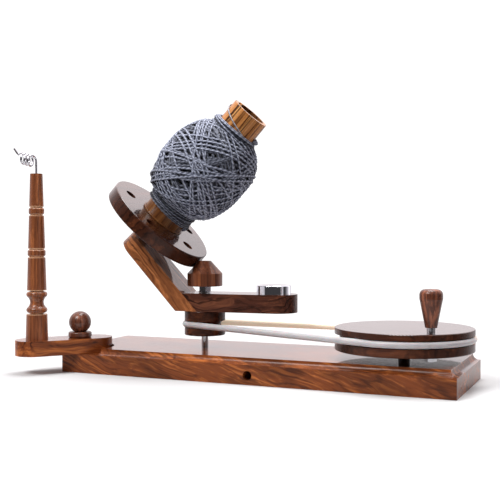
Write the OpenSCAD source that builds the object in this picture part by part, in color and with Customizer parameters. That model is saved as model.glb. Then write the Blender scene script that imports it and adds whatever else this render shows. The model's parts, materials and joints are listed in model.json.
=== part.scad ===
// Hand-cranked wooden yarn ball winder, in millimetres.
// Origin: centre of the base's underside. +X towards the drive wheel, +Y to the back, +Z up.

/* [Base] */
// Length of the base board
base_l = 450; // [420:1:520]
// Width of the base board, front to back
base_w = 140; // [130:1:180]
// Thickness of the base board
base_h = 28; // [26:0.5:36]
// Radius of the cove moulding round the top edge
cove_r = 7; // [3:0.5:9]
// Radius of the hole for a table clamp in the front edge
clamp_hole_r = 5; // [3:0.25:6]
// Depth of the table clamp hole
clamp_hole_depth = 55; // [30:1:58]
// Height of the table clamp hole above the underside
clamp_hole_z = 10; // [8:0.5:12]
// Place of the table clamp hole along the base
clamp_hole_x = 7; // [-30:1:60]

/* [Drive] */
// Place of the upright shaft along the base
shaft_x = -76.5; // [-90:0.5:-70]
// Distance of the drive wheel's axle from the base's right end
wheel_end = 68; // [64:0.5:80]
// Height of the belt's middle above the underside, at the drive wheel
belt_z = 50; // [49:0.5:54]
// How much higher the belt runs at the small pulley
belt_rise = 5; // [2:0.25:6]
// Diameter of the round belt
belt_d = 7; // [4:0.5:8]
// Radius of the drive wheel
wheel_r = 73; // [60:0.5:76]
// Thickness of the drive wheel's flange above the groove
wheel_upper = 7; // [4:0.5:10]
// Thickness of the drive wheel's flange below the groove
wheel_lower = 9.5; // [8:0.5:12]
// How far the belt stands out of the drive wheel's rim
wheel_belt_proud = 2; // [0.5:0.25:3]
// Radius of the small pulley
pulley_r = 23.5; // [21:0.5:26]
// Height of the small pulley
pulley_h = 28; // [25:0.5:30]
// Thickness of the small pulley's flange below the groove
pulley_lower = 9; // [8:0.25:11]
// How far the belt stands out of the small pulley's rim
pulley_belt_proud = 2.5; // [0.5:0.25:3]
// Radius of the shaft, the wheel axle, the bobbin spindle and the knob's stud
rod_r = 4; // [3.5:0.25:4.5]
// Wall of the bushes that turn on the rods
bush_wall = 2; // [1.5:0.25:2.5]

/* [Crank] */
// Distance of the crank handle from the wheel's centre
crank_r = 60; // [45:1:61]
// Angle of the crank handle at rest
crank_angle = -50.5; // [-180:0.5:180]
// Height of the wooden grip
grip_h = 38; // [30:1:60]
// Radius of the grip at its widest
grip_r = 11.6; // [10:0.1:14]
// Radius of the grip at its foot
grip_foot_r = 5.9; // [5.8:0.1:8]
// Height of the ferrule between wheel and grip
ferrule_h = 5.3; // [4:0.1:8]
// Radius of the ferrule
ferrule_r = 4.4; // [4.2:0.1:5.5]
// Radius of the crank bolt
crank_bolt_r = 3; // [2.5:0.25:3.25]

/* [Flyer] */
// Angle of the flyer at rest, seen from above
rest_yaw = 5; // [-180:1:180]
// Width of the arm
arm_w = 45; // [42:1:50]
// Thickness of the arm's level foot
foot_t = 20.5; // [18:0.5:24]
// Distance of the counterweight from the shaft
weight_reach = 83; // [70:1:95]
// How far the arm runs past the counterweight's centre
arm_end = 27; // [24:0.5:32]
// Thickness of the inclined upright
upright_t = 19.5; // [16:0.5:22]
// Slope of the upright, from level
upright_angle = 48; // [45:0.5:52]
// Distance from the shaft to the upright's inner face at the foot's top
upright_gap = 20; // [17:0.5:22]
// How far the upright runs past the bobbin's spindle
upright_past = 16; // [14:0.5:24]
// Radius of the counterweight
weight_r = 19.5; // [14:0.5:20]
// Height of the counterweight
weight_h = 19; // [16:0.5:22]
// How deep the counterweight is let into the arm
weight_sunk = 9; // [6:0.5:11]

/* [Cone] */
// Radius of the friction cone's skirt
cone_r = 20.2; // [17:0.1:21]
// Height of the skirt below the taper
cone_skirt = 14.5; // [10:0.5:18]
// Radius of the flat on top of the cone
cone_top_r = 6.9; // [5.5:0.1:8]

/* [Bobbin] */
// Tilt of the bobbin's axis above level, which is also the cone's slope
bobbin_tilt = 47.5; // [45:0.5:49]
// Radius of the bobbin's disc
disc_r = 66.6; // [60:0.1:68]
// Thickness of the disc
disc_t = 16; // [12:0.5:18]
// Height of the disc's upper face past the cone's top edge, along the bobbin's axis
disc_rise = 5; // [4:0.5:8]
// Number of holes in the disc
disc_holes = 5; // [3:1:8]
// Radius of the holes in the disc
disc_hole_r = 6.5; // [4:0.25:7.5]
// Distance of the holes from the disc's centre
disc_hole_ring = 46.5; // [42:0.5:50]
// Angle of the first hole round the disc
disc_hole_turn = 64; // [0:1:120]
// Radius of the bobbin's tapered tube at the disc
tube_r = 26; // [24:0.5:27]
// Radius of the tube at its rim
tube_top_r = 22.5; // [20:0.5:23.5]
// Wall of the ring round the tube's foot
ring_wall = 1.6; // [1.2:0.1:3]
// Height of the ring round the tube's foot
ring_h = 2; // [1.5:0.25:4]
// Wall of the tube at its rim
tube_wall = 4.5; // [3:0.25:6]
// Length of the tube above the disc
tube_l = 161; // [150:1:180]
// Width of the yarn notch in the tube's rim
notch_w = 4.5; // [4.2:0.1:6]
// Depth of the notch
notch_deep = 6; // [5:0.5:10]
// Angle of the notch round the tube
notch_angle = 165; // [120:1:200]

/* [Yarn] */
// Radius of the wound ball, over its outer strands
ball_r = 56; // [54:0.5:60]
// Half of the ball's length over its rounded form, along the bobbin's axis
ball_half = 65.5; // [63:0.5:70]
// Distance of the ball's middle above the disc
ball_mid = 78; // [75:0.5:82]
// Height above the disc at which the yarn starts
wrap_low = 8; // [6:0.5:12]
// Diameter of the yarn
yarn_d = 3.2; // [2.4:0.1:3.4]
// Passes up and back down the ball
yarn_cycles = 7; // [5:1:7]
// Space between crossing strands
strand_gap = 1; // [0.9:0.05:1.4]

/* [Guide] */
// Distance of the ball knob from the base's left end
knob_end = 11; // [10:0.5:20]
// Distance of the ball knob from the base's front edge
knob_front = 20; // [18:0.5:30]
// Width of the guide plate
plate_w = 42; // [36:1:44]
// Thickness of the guide plate
plate_t = 17.2; // [12:0.2:20]
// Distance from the knob to the guide post
post_reach = 50.5; // [45:0.5:60]
// How far the plate runs past the knob
plate_tail = 38; // [34:0.5:42]
// How far the plate runs past the post
plate_nose = 24.5; // [22:0.5:28]
// Direction of the guide plate at rest
guide_angle = -128.5; // [-150:0.5:-100]
// Space between the guide plate and its pocket in the base
pocket_gap = 1.5; // [0.5:0.25:3]
// Radius of the post at its foot
post_foot_r = 12.6; // [10:0.1:14]
// Radius of the post at its top
post_top_r = 7; // [6:0.1:9]
// Height of the plain foot of the post
post_foot_h = 29.2; // [20:0.2:40]
// Height of the vase turned above the foot
vase_h = 27; // [24:0.5:32]
// Radius of the vase's neck
vase_neck_r = 7.6; // [6.5:0.1:9]
// Length of each of the post's three tapers
post_taper = 37.3; // [30:0.1:48]
// Height of each ring turned between the tapers
post_ring = 10.2; // [7:0.1:12]
// Depth of the turned grooves
groove_d = 1.4; // [1:0.1:2]
// Radius of the ball knob
knob_r = 12.7; // [10:0.1:15]
// Radius of the knob's collar
collar_r = 13.4; // [11:0.1:15]
// Height of the knob's collar
collar_h = 6.6; // [5:0.1:8]

/* [Pigtail] */
// Diameter of the guide wire
wire_d = 1.8; // [1.4:0.1:2]
// Radius of the pigtail's turns, to the wire's middle
curl_r = 6.2; // [5.6:0.1:8]
// Step between the pigtail's turns
curl_step = 4.6; // [4:0.1:6]
// Turns of the pigtail
curls = 3; // [2:1:4]
// Height of the straight wire above the post
wire_rise = 14; // [12:0.5:20]

/* [Clearances] */
// Space round pieces that are pressed or screwed together
fit_gap = 0.05; // [0.02:0.01:0.08]
// Space round a rod in the bush that turns on it
run_gap = 0.08; // [0.04:0.01:0.1]
// Space between faces that move past each other
air_gap = 0.3; // [0.2:0.05:0.4]

/* [Hidden] */
$fn = 64;
eps = 0.01;
far = 1000;

// Colours as photographed
dark_wood = [0.30, 0.14, 0.08];
warm_wood = [0.52, 0.26, 0.12];
light_wood = [0.72, 0.40, 0.17];
steel = [0.72, 0.73, 0.75];
brass = [0.72, 0.58, 0.30];
black = [0.06, 0.06, 0.06];
cream = [0.90, 0.87, 0.80];
yarn_blue = [0.38, 0.42, 0.48];

// Hexagon nuts and washers for the rods
nut_flat = rod_r * 3.25;
nut_h = rod_r * 1.5;
washer_r = rod_r * 1.8;
washer_t = 1.2;
sink_r = washer_r + 1;
sink_wall = 1.5;

// Heights up the base and the upright shaft
shoulder_h = base_h - cove_r;
groove_r = belt_d / 2 + air_gap;
groove_half = groove_r + 0.06 * belt_rise;
pulley_belt_z = belt_z + belt_rise;
pulley_low = pulley_belt_z - belt_d / 2 - pulley_lower;
foot_low = pulley_low + pulley_h;
foot_top = foot_low + foot_t;
recess_h = washer_t + nut_h + 2 * air_gap;
thrust_z = foot_top + air_gap;
lock_nut_z = thrust_z + washer_t;
cone_low = lock_nut_z + nut_h;
cone_edge = cone_low + cone_skirt;
cone_top = cone_edge + (cone_r - cone_top_r) * tan(bobbin_tilt);
bush_r = rod_r + bush_wall;
shaft_sink = washer_t + nut_h + 2;
shaft_low = 2;
shaft_cover = 5;
shaft_end = cone_top - shaft_cover;
rod_proud = 2;

// Belt radii, and the angle by which its straight runs spread
wheel_x = base_l / 2 - wheel_end;
wheel_belt_r = wheel_r + wheel_belt_proud - belt_d / 2;
pulley_belt_r = pulley_r + pulley_belt_proud - belt_d / 2;
belt_span = wheel_x - shaft_x;
belt_lean = asin((wheel_belt_r - pulley_belt_r) / belt_span);

// Drive wheel heights
wheel_top = belt_z + belt_d / 2 + wheel_upper;
wheel_low = belt_z - belt_d / 2 - wheel_lower;
axle_cover = 7;
axle_top = wheel_top - axle_cover;
bush_over = 2;
axle_head_h = 5.3;
axle_sink = axle_head_h + washer_t + 1;

// Crank heights
ferrule_low = wheel_top + air_gap;
grip_low = ferrule_low + ferrule_h;
bolt_head_r = crank_bolt_r * 1.6;
bolt_head_h = 4;
bolt_reach = 16;
bolt_head_z = grip_low + bolt_reach;
ferrule_plug = 12;
crank_washer_r = crank_bolt_r * 2;
crank_nut_h = crank_bolt_r;
bolt_tail = 0.6;

// Bobbin axis: it passes so that the disc's rim clears the cone's taper by air_gap
axis_off = disc_r + air_gap;
disc_x = -cone_top_r - axis_off * sin(bobbin_tilt) + disc_rise * cos(bobbin_tilt);
disc_z = cone_top + axis_off * cos(bobbin_tilt) + disc_rise * sin(bobbin_tilt);

// Upright: its inner face meets the bobbin's axis this far below the disc's upper face
cant = upright_angle + bobbin_tilt - 90;
spindle_drop = ((disc_x + upright_gap) * sin(upright_angle)
    + (disc_z - foot_top) * cos(upright_angle)) / cos(cant);
seat_x = disc_x - spindle_drop * cos(bobbin_tilt);
seat_z = disc_z - spindle_drop * sin(bobbin_tilt);
upright_run = norm([seat_x + upright_gap, seat_z - foot_top]);
upright_round = upright_run + upright_past - arm_w / 2;
seat_sink = 2.5;
nut_seat = spindle_drop + upright_t - (washer_t + nut_h);
spindle_low = spindle_drop + upright_t + 1;

// Bobbin bore and the fixings above it
plug_h = 19;
bobbin_lock_z = plug_h + air_gap;
tube_in = tube_top_r - tube_wall;
ring_r = tube_r + ring_wall;
tube_sink = 5;
disc_screw_ring = 14;
disc_screw_l = disc_t + 10;

// Wood screws and dowels, and how far they run into the piece they hold
screw_r = 2;
pulley_screw_ring = 14;
pulley_screw_l = pulley_h + 8;
weight_screw_in = 8;
post_screw_in = 18;
dowel_r = 3;
dowel_l = 16;

// Yarn: core of the ball, strand layers and the wrap against the tube
core_clear = 0.9;
layer_step = yarn_d + strand_gap;
strand_base = core_clear + yarn_d / 2;
core_b = ball_r - core_clear - 2 * yarn_d - strand_gap;
core_a = ball_half - core_clear - 2 * yarn_d - strand_gap;
wrap_t = 3.2;
wrap_high = ball_mid + core_a;
// Passes turn back at this share of the core's length; each makes one and a half turns and a little more
turn_share = 0.78;
turn_x = core_a * turn_share;
pass_turn = 540 + 180 / yarn_cycles;
loop_rings = 24;
climb = 24;
// Steps left off the last pass, where the yarn lifts off towards the tube
lift_steps = 3;
lift_turn = 45;
tail_clear = 0.5;
end_clear = 0.35;

// Guide plate and post
knob_x = -base_l / 2 + knob_end;
knob_y = -base_w / 2 + knob_front;
plate_low = shoulder_h;
plate_top = plate_low + plate_t;
pocket_r = plate_tail + pocket_gap;
post_h = post_foot_h + vase_h + 3 * post_taper + 2 * post_ring;
insert_r = rod_r + 1.6;
insert_h = 12;
knob_low = plate_top + fit_gap;
knob_seat = 0.86;
knob_mid = knob_low + collar_h + knob_r * knob_seat;
wire_sunk = 12;
end_step = [-1.6, -0.4, 2.4];

// Frames that pieces are placed in
module at_shaft() { translate([shaft_x, 0, 0]) children(); }
module at_wheel() { translate([wheel_x, 0, 0]) children(); }
module at_crank() { at_wheel() rotate([0, 0, crank_angle]) translate([crank_r, 0, 0]) children(); }
module at_flyer() { at_shaft() rotate([0, 0, rest_yaw]) children(); }
module at_bobbin() { at_flyer() translate([disc_x, 0, disc_z]) rotate([0, 90 - bobbin_tilt, 0]) children(); }
module at_knob() { translate([knob_x, knob_y, 0]) children(); }
module at_guide() { at_knob() rotate([0, 0, guide_angle]) children(); }
module at_post() { at_guide() translate([post_reach, 0, 0]) children(); }

// Plain turned shapes
module rod(r, low, high) { translate([0, 0, low]) cylinder(r = r, h = high - low); }
module tube(outer, inner, low, high) {
    difference() {
        rod(outer, low, high);
        rod(inner, low - 1, high + 1);
    }
}
module hex_nut(flat, bore, h) {
    difference() {
        cylinder(r = flat / 2 / cos(30), h = h, $fn = 6);
        rod(bore, -1, h + 1);
    }
}
module washer(outer, bore, t) { tube(outer, bore, 0, t); }
// Wood screw pointing up from z = 0, with a countersunk head below
module wood_screw(r, length) {
    cylinder(r1 = 2 * r, r2 = r, h = r);
    rod(r, r - eps, length);
}
module screw_hole(r, length) {
    translate([0, 0, -fit_gap]) cylinder(r1 = 2 * r + fit_gap, r2 = r + fit_gap, h = r + fit_gap);
    rod(r + fit_gap, -fit_gap, length + 1);
}
// Rectangle in the half plane of a turning, with its outer corners rounded
module turned_block(r, low, high, edge) {
    translate([0, low]) square([r - edge, high - low]);
    translate([0, low + edge]) square([r, high - low - 2 * edge]);
    for (z = [low + edge, high - edge]) translate([r - edge, z]) circle(edge);
}

// Tube of a given diameter along points, with flat ends
function unit(v) = v / norm(v);
function heading(p, i) = unit(p[min(i + 1, len(p) - 1)] - p[max(i - 1, 0)]);
function square_to(v, t) = unit(v - (v * t) * t);
function sweep_sides(p, first) =
    [for (i = 0, s = square_to(first, heading(p, 0)); i < len(p);
          i = i + 1, s = i < len(p) ? square_to(s, heading(p, i)) : s) s];
module sweep(p, d, sides, first) {
    side = sweep_sides(p, first);
    rings = [for (i = [0 : len(p) - 1])
        let (u = side[i], v = cross(heading(p, i), u))
        [for (k = [0 : sides - 1]) p[i] + d / 2 * (cos(360 * k / sides) * u + sin(360 * k / sides) * v)]];
    last = (len(p) - 1) * sides;
    walls = [for (i = [0 : len(p) - 2], k = [0 : sides - 1], half = [0, 1])
        let (a = i * sides + k, b = i * sides + (k + 1) % sides)
        half == 0 ? [a, a + sides, b] : [b, a + sides, b + sides]];
    low_end = [for (k = [1 : sides - 2]) [0, k, k + 1]];
    high_end = [for (k = [1 : sides - 2]) [last, last + k + 1, last + k]];
    polyhedron([for (r = rings, q = r) q], concat(walls, low_end, high_end));
}
// Tube round a closed, nearly level loop of points
module closed_sweep(p, d, sides) {
    n = len(p);
    points = [for (i = [0 : n - 1], k = [0 : sides - 1])
        let (t = unit(p[(i + 1) % n] - p[(i + n - 1) % n]), out = [t[1], -t[0], 0], a = 360 * (k + 0.5) / sides)
        p[i] + d / 2 * (cos(a) * out + [0, 0, sin(a)])];
    faces = [for (i = [0 : n - 1], k = [0 : sides - 1], half = [0, 1])
        let (a = i * sides + k, b = i * sides + (k + 1) % sides,
             c = (i + 1) % n * sides + k, e = (i + 1) % n * sides + (k + 1) % sides)
        half == 0 ? [a, b, c] : [b, e, c]];
    polyhedron(points, faces);
}
// Least distance between points that lie further apart along the tube than skip steps
function least_gap(p, skip, d) =
    min([for (i = [0 : len(p) - 1 - skip], j = [i + skip : len(p) - 1]) norm(p[i] - p[j])]) - d;
function with_middles(p) =
    [for (i = [0 : len(p) - 2], half = [0, 1]) half == 0 ? p[i] : (p[i] + p[i + 1]) / 2];

// Base and everything fixed to it
module cove_cuts() {
    for (s = [-1, 1]) {
        translate([0, s * base_w / 2, base_h]) rotate([0, 90, 0])
            cylinder(r = cove_r, h = base_l + 2, center = true);
        translate([s * base_l / 2, 0, base_h]) rotate([90, 0, 0])
            cylinder(r = cove_r, h = base_w + 2, center = true);
    }
}
module base_board() {
    color(warm_wood) difference() {
        translate([-base_l / 2, -base_w / 2, 0]) cube([base_l, base_w, base_h]);
        cove_cuts();
        at_knob() rod(pocket_r, shoulder_h, far);
        at_knob() rod(insert_r + fit_gap, shoulder_h - insert_h, far);
        at_shaft() rod(rod_r + fit_gap, -1, far);
        at_shaft() rod(sink_r, -1, shaft_sink);
        at_wheel() rod(rod_r + fit_gap, -1, far);
        at_wheel() rod(sink_r, -1, axle_sink);
        translate([clamp_hole_x, -base_w / 2 - 1, clamp_hole_z]) rotate([-90, 0, 0])
            cylinder(r = clamp_hole_r, h = clamp_hole_depth + 1);
    }
}
module main_shaft() { color(steel) at_shaft() rod(rod_r, shaft_low, shaft_end); }
module shaft_nuts() {
    color(steel) at_shaft() {
        for (z = [shaft_sink - washer_t - nut_h, pulley_low + recess_h - air_gap - washer_t - nut_h, lock_nut_z])
            translate([0, 0, z]) hex_nut(nut_flat, rod_r + fit_gap, nut_h);
    }
}
module shaft_washers() {
    color(steel) at_shaft() {
        for (z = [shaft_sink - washer_t, pulley_low + recess_h - air_gap - washer_t, thrust_z])
            translate([0, 0, z]) washer(washer_r, rod_r + fit_gap, washer_t);
    }
}
module friction_cone() {
    edge = 0.8;
    color(dark_wood) at_shaft() difference() {
        rotate_extrude() {
            turned_block(cone_r, cone_low, cone_edge, edge);
            polygon([[0, cone_edge - edge], [cone_r, cone_edge - edge], [cone_r, cone_edge],
                     [cone_top_r, cone_top], [0, cone_top]]);
        }
        rod(rod_r + fit_gap, cone_low - 1, shaft_end + fit_gap);
    }
}
module wheel_axle() {
    color(steel) at_wheel() {
        translate([0, 0, axle_sink - washer_t - axle_head_h])
            cylinder(r = nut_flat / 2 / cos(30), h = axle_head_h, $fn = 6);
        rod(rod_r, axle_sink - washer_t - eps, axle_top);
    }
}
module axle_washer() {
    color(steel) at_wheel() translate([0, 0, axle_sink - washer_t]) washer(washer_r, rod_r + fit_gap, washer_t);
}
module wheel_spacer() { color(black) at_wheel() tube(bush_r, rod_r + fit_gap, base_h, wheel_low - air_gap); }
// Points round the belt's middle: an arc on the wheel, then an arc on the pulley
function belt_arc(x, z, r, from, to, steps) =
    [for (k = [0 : steps]) let (a = from + (to - from) * k / steps) [x + r * cos(a), r * sin(a), z]];
module drive_belt() {
    edge = 90 + belt_lean;
    color(cream) closed_sweep(concat(belt_arc(wheel_x, belt_z, wheel_belt_r, -edge, edge, 30),
                                     belt_arc(shaft_x, pulley_belt_z, pulley_belt_r, edge, 360 - edge, 16)),
                              belt_d, 12);
}
module knob_insert() {
    color(brass) at_knob() tube(insert_r, rod_r + run_gap, shoulder_h - insert_h + fit_gap, shoulder_h);
}

// Flyer: the bent arm with what it carries
module arm_outline() {
    round_x = weight_reach + arm_end - arm_w / 2;
    translate([0, -arm_w / 2]) square([round_x, arm_w]);
    translate([round_x, 0]) circle(arm_w / 2);
}
// Slab that lies below the upright's inner face, in the flyer's frame
module upright_side(depth) {
    translate([-upright_gap, 0, foot_top]) rotate([0, upright_angle, 0])
        translate([-far / 2, -far / 2, -depth]) cube([far, far, depth]);
}
module dowel_places() {
    for (s = [-1, 1]) translate([-upright_gap / 2, s * arm_w / 4, foot_low + foot_t / 2])
        rotate([0, upright_angle, 0]) children();
}
module arm_foot() {
    color(dark_wood) at_flyer() difference() {
        translate([0, 0, foot_low]) linear_extrude(foot_t) union() {
            arm_outline();
            translate([-upright_gap - 1, -arm_w / 2]) square([upright_gap + 2, arm_w]);
        }
        upright_side(far);
        rod(bush_r + fit_gap, -1, far);
        translate([weight_reach, 0, 0]) rod(weight_r + fit_gap, foot_top - weight_sunk, far);
        translate([weight_reach, 0, foot_low]) screw_hole(screw_r, foot_t);
        pulley_screw_places() screw_hole(screw_r, pulley_screw_l);
        dowel_places() rod(dowel_r + fit_gap, -dowel_l / 2 - fit_gap, dowel_l / 2 + fit_gap);
    }
}
module joint_dowels() { color(light_wood) at_flyer() dowel_places() rod(dowel_r, -dowel_l / 2, dowel_l / 2); }
module arm_upright() {
    color(light_wood) at_flyer() difference() {
        intersection() {
            translate([-upright_gap, 0, foot_top]) rotate([0, upright_angle, 0])
                translate([0, 0, -upright_t]) linear_extrude(upright_t) union() {
                    translate([-upright_round, 0]) circle(arm_w / 2);
                    translate([-upright_round, -arm_w / 2]) square([upright_round + 3 * foot_t, arm_w]);
                }
            translate([-far / 2, -far / 2, foot_low]) cube(far);
        }
        translate([disc_x, 0, disc_z]) rotate([0, 90 - bobbin_tilt, 0]) {
            rod(rod_r + fit_gap, -far, 0);
            rod(bush_r + fit_gap, -spindle_drop - seat_sink, 0);
            rod(sink_r, -far, -nut_seat);
        }
        rod(bush_r + fit_gap, -1, far);
        pulley_screw_places() screw_hole(screw_r, pulley_screw_l);
        dowel_places() rod(dowel_r + fit_gap, -dowel_l / 2 - fit_gap, dowel_l / 2 + fit_gap);
    }
}
module flyer_bush() { color(brass) at_flyer() tube(bush_r, rod_r + run_gap, pulley_low + recess_h, foot_top); }
module small_pulley() {
    edge = 1;
    color(dark_wood) at_flyer() difference() {
        rotate_extrude() difference() {
            turned_block(pulley_r, pulley_low, foot_low, edge);
            translate([pulley_belt_r, pulley_belt_z]) circle(groove_r);
            translate([pulley_belt_r, pulley_belt_z - groove_half]) square([belt_d, 2 * groove_half]);
        }
        rod(bush_r + fit_gap, -1, far);
        rod(sink_r, -1, pulley_low + recess_h);
        pulley_screw_places() screw_hole(screw_r, pulley_screw_l);
    }
}
module pulley_screw_places() {
    for (a = [60, 180, 300]) rotate([0, 0, a]) translate([pulley_screw_ring, 0, pulley_low]) children();
}
module pulley_screws() { color(steel) at_flyer() pulley_screw_places() wood_screw(screw_r, pulley_screw_l); }
module counterweight() {
    edge = 1.2;
    color(steel) at_flyer() translate([weight_reach, 0, 0]) difference() {
        rotate_extrude() turned_block(weight_r, foot_top - weight_sunk, foot_top - weight_sunk + weight_h, edge);
        rod(screw_r + fit_gap, foot_top - weight_sunk - 1, foot_top - weight_sunk + weight_screw_in + fit_gap);
    }
}
module counterweight_screw() {
    color(steel) at_flyer() translate([weight_reach, 0, foot_low])
        wood_screw(screw_r, foot_t - weight_sunk + weight_screw_in);
}
module bobbin_spindle() { color(steel) at_bobbin() rod(rod_r, -spindle_low, bobbin_lock_z + washer_t + nut_h + rod_proud); }
module spindle_nuts() {
    color(steel) at_bobbin() for (z = [-nut_seat - washer_t - nut_h, bobbin_lock_z + washer_t])
        translate([0, 0, z]) hex_nut(nut_flat, rod_r + fit_gap, nut_h);
}
module spindle_washers() {
    color(steel) at_bobbin() for (z = [-nut_seat - washer_t, bobbin_lock_z])
        translate([0, 0, z]) washer(washer_r, rod_r + fit_gap, washer_t);
}
module spindle_spacer() {
    color(black) at_bobbin() tube(bush_r, rod_r + fit_gap, -spindle_drop - seat_sink, -disc_t - air_gap);
}

// Bobbin: disc, ring and tube. Radius of the tube at a height above the disc:
function tube_at(z) = tube_r + (tube_top_r - tube_r) * max(0, z) / tube_l;
module disc_screw_places() {
    for (a = [60, 180, 300]) rotate([0, 0, a]) translate([disc_screw_ring, 0, -disc_t]) children();
}
module bobbin_disc() {
    edge = 1.2;
    color(dark_wood) at_bobbin() difference() {
        rotate_extrude() turned_block(disc_r, -disc_t, 0, edge);
        for (k = [0 : disc_holes - 1]) rotate([0, 0, disc_hole_turn + 360 * k / disc_holes])
            translate([disc_hole_ring, 0, 0]) rod(disc_hole_r, -disc_t - 1, 1);
        rod(bush_r + fit_gap, -disc_t - 1, 1);
        rod(tube_r + fit_gap, -tube_sink, 1);
        disc_screw_places() screw_hole(screw_r, disc_screw_l);
    }
}
module tube_ring() {
    edge = 0.6;
    color(light_wood) at_bobbin() rotate_extrude() difference() {
        turned_block(ring_r, fit_gap, ring_h, edge);
        square([tube_r + fit_gap, ring_h + 1]);
    }
}
module bobbin_tube() {
    color(light_wood) at_bobbin() difference() {
        rotate_extrude() polygon([[0, fit_gap - tube_sink], [tube_r, fit_gap - tube_sink], [tube_r, 0],
                                  [tube_top_r, tube_l], [0, tube_l]]);
        rod(tube_in, plug_h, tube_l + 1);
        rod(bush_r + fit_gap, -tube_sink - 1, plug_h + 1);
        rotate([0, 0, notch_angle]) translate([0, -notch_w / 2, tube_l - notch_deep]) cube([tube_r + 5, notch_w, far]);
        disc_screw_places() screw_hole(screw_r, disc_screw_l);
    }
}
module bobbin_bush() { color(brass) at_bobbin() tube(bush_r, rod_r + run_gap, -disc_t, plug_h); }
module disc_screws() { color(steel) at_bobbin() disc_screw_places() wood_screw(screw_r, disc_screw_l); }

// Yarn: points on the ball, at a distance from the core's surface along its normal
function on_ball(x, angle, off) =
    let (r = core_b * sqrt(1 - pow(x / core_a, 2)),
         normal = unit([x / pow(core_a, 2), r / pow(core_b, 2)]),
         q = [x, r] + off * normal)
    [q[1] * cos(angle), q[1] * sin(angle), ball_mid + q[0]];
// Share of a climb between layers: 0 before, 1 after, smooth between
function ease(s) = s <= 0 ? 0 : s >= 1 ? 1 : s * s * (3 - 2 * s);
function strand(turn) =
    let (pass = floor(turn / pass_turn), rest = turn - pass * pass_turn, down = pass % 2 == 0,
         x = turn_x * (1 - 2 * rest / pass_turn),
         share = 0.5 + 0.5 * ease(min(rest, pass_turn - rest) / climb))
    on_ball(down ? x : -x, -turn, strand_base + layer_step * (down ? 1 - share : share));
// The first end stands straight off the core, square to it
function ball_points() =
    concat([for (off = [end_clear, end_clear + yarn_d]) on_ball(turn_x, 0, off)],
           [for (k = [1 : round(2 * yarn_cycles * pass_turn / 360) * loop_rings - lift_steps])
               strand(k * 360 / loop_rings)]);
// The last end lifts off the ball, winds up the tube and runs straight in through the notch
function tail_points(start) =
    let (from_r = norm([start[0], start[1]]), from_angle = atan2(start[1], start[0]),
         over = tail_clear + yarn_d / 2, lift_z = wrap_high - 4,
         top = tube_l - notch_deep + yarn_d / 2 + 0.4, end_r = tube_at(top),
         turn = from_angle - notch_angle + 360, steps = 26)
    concat([for (k = [1 : steps])
                let (a = turn * k / steps, lift = min(1, a / lift_turn),
                     z = a < lift_turn ? start[2] + (lift_z - start[2]) * lift
                                       : lift_z + (top - lift_z) * (a - lift_turn) / (turn - lift_turn),
                     r = from_r + (tube_at(z) + wrap_t + over - from_r) * lift * lift
                         - wrap_t * ease((z - wrap_high - 2) / 6))
                [r * cos(from_angle - a), r * sin(from_angle - a), z]],
           [for (r = [end_r + over - 1.2, end_r - 1.5, end_r - 1.5 - yarn_d])
                [r * cos(notch_angle), r * sin(notch_angle), top]]);
module yarn_core() {
    color(yarn_blue) at_bobbin() rotate_extrude() difference() {
        union() {
            polygon([[0, wrap_low], [tube_at(wrap_low) + wrap_t, wrap_low],
                     [tube_at(wrap_high) + wrap_t, wrap_high], [0, wrap_high]]);
            intersection() {
                translate([0, ball_mid]) scale([core_b / core_a, 1]) circle(core_a);
                translate([0, ball_mid - core_a]) square([core_a, 2 * core_a]);
            }
        }
        polygon([[-1, wrap_low - 1], [tube_at(wrap_low - 1) + air_gap, wrap_low - 1],
                 [tube_at(wrap_high + 1) + air_gap, wrap_high + 1], [-1, wrap_high + 1]]);
    }
}
module yarn_winding() {
    ball = ball_points();
    route = concat(ball, tail_points(ball[len(ball) - 1]));
    echo(yarn_least_gap = least_gap(with_middles(route), 12, yarn_d), yarn_loops = len(route) / loop_rings);
    color(yarn_blue) at_bobbin() sweep(route, yarn_d, 6, [0, 0, 1]);
}

// Drive wheel and crank
module drive_wheel() {
    edge = 1;
    color(dark_wood) difference() {
        at_wheel() rotate_extrude() difference() {
            turned_block(wheel_r, wheel_low, wheel_top, edge);
            translate([wheel_belt_r, belt_z]) circle(groove_r);
            translate([wheel_belt_r, belt_z - groove_half]) square([belt_d, 2 * groove_half]);
        }
        at_wheel() rod(bush_r + fit_gap, -1, axle_top + bush_over);
        at_crank() rod(crank_bolt_r + fit_gap, -1, far);
    }
}
module wheel_bush() {
    color(brass) at_wheel() difference() {
        rod(bush_r, wheel_low, axle_top + bush_over - fit_gap);
        rod(rod_r + run_gap, wheel_low - 1, axle_top + air_gap);
    }
}
module crank_bolt() {
    color(steel) at_crank() {
        rod(crank_bolt_r, wheel_low - washer_t - crank_nut_h - bolt_tail, bolt_head_z + eps);
        rod(bolt_head_r, bolt_head_z, bolt_head_z + bolt_head_h);
    }
}
module crank_washer() {
    color(steel) at_crank() translate([0, 0, wheel_low - washer_t])
        washer(crank_washer_r, crank_bolt_r + fit_gap, washer_t);
}
module crank_nut() {
    color(steel) at_crank() translate([0, 0, wheel_low - washer_t - crank_nut_h])
        hex_nut(crank_bolt_r * 10 / 3, crank_bolt_r + fit_gap, crank_nut_h);
}
module handle_grip() {
    crown = grip_r * 0.48;
    shoulder = 9;
    color(dark_wood) at_crank() difference() {
        translate([0, 0, grip_low]) rotate_extrude() {
            polygon([[0, 0], [grip_foot_r, 0], [grip_r, grip_h - shoulder], [0, grip_h - shoulder]]);
            turned_block(grip_r, grip_h - shoulder - crown, grip_h, crown);
        }
        rod(bolt_head_r + air_gap, grip_low - 1, bolt_head_z + bolt_head_h + air_gap);
    }
}
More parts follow.
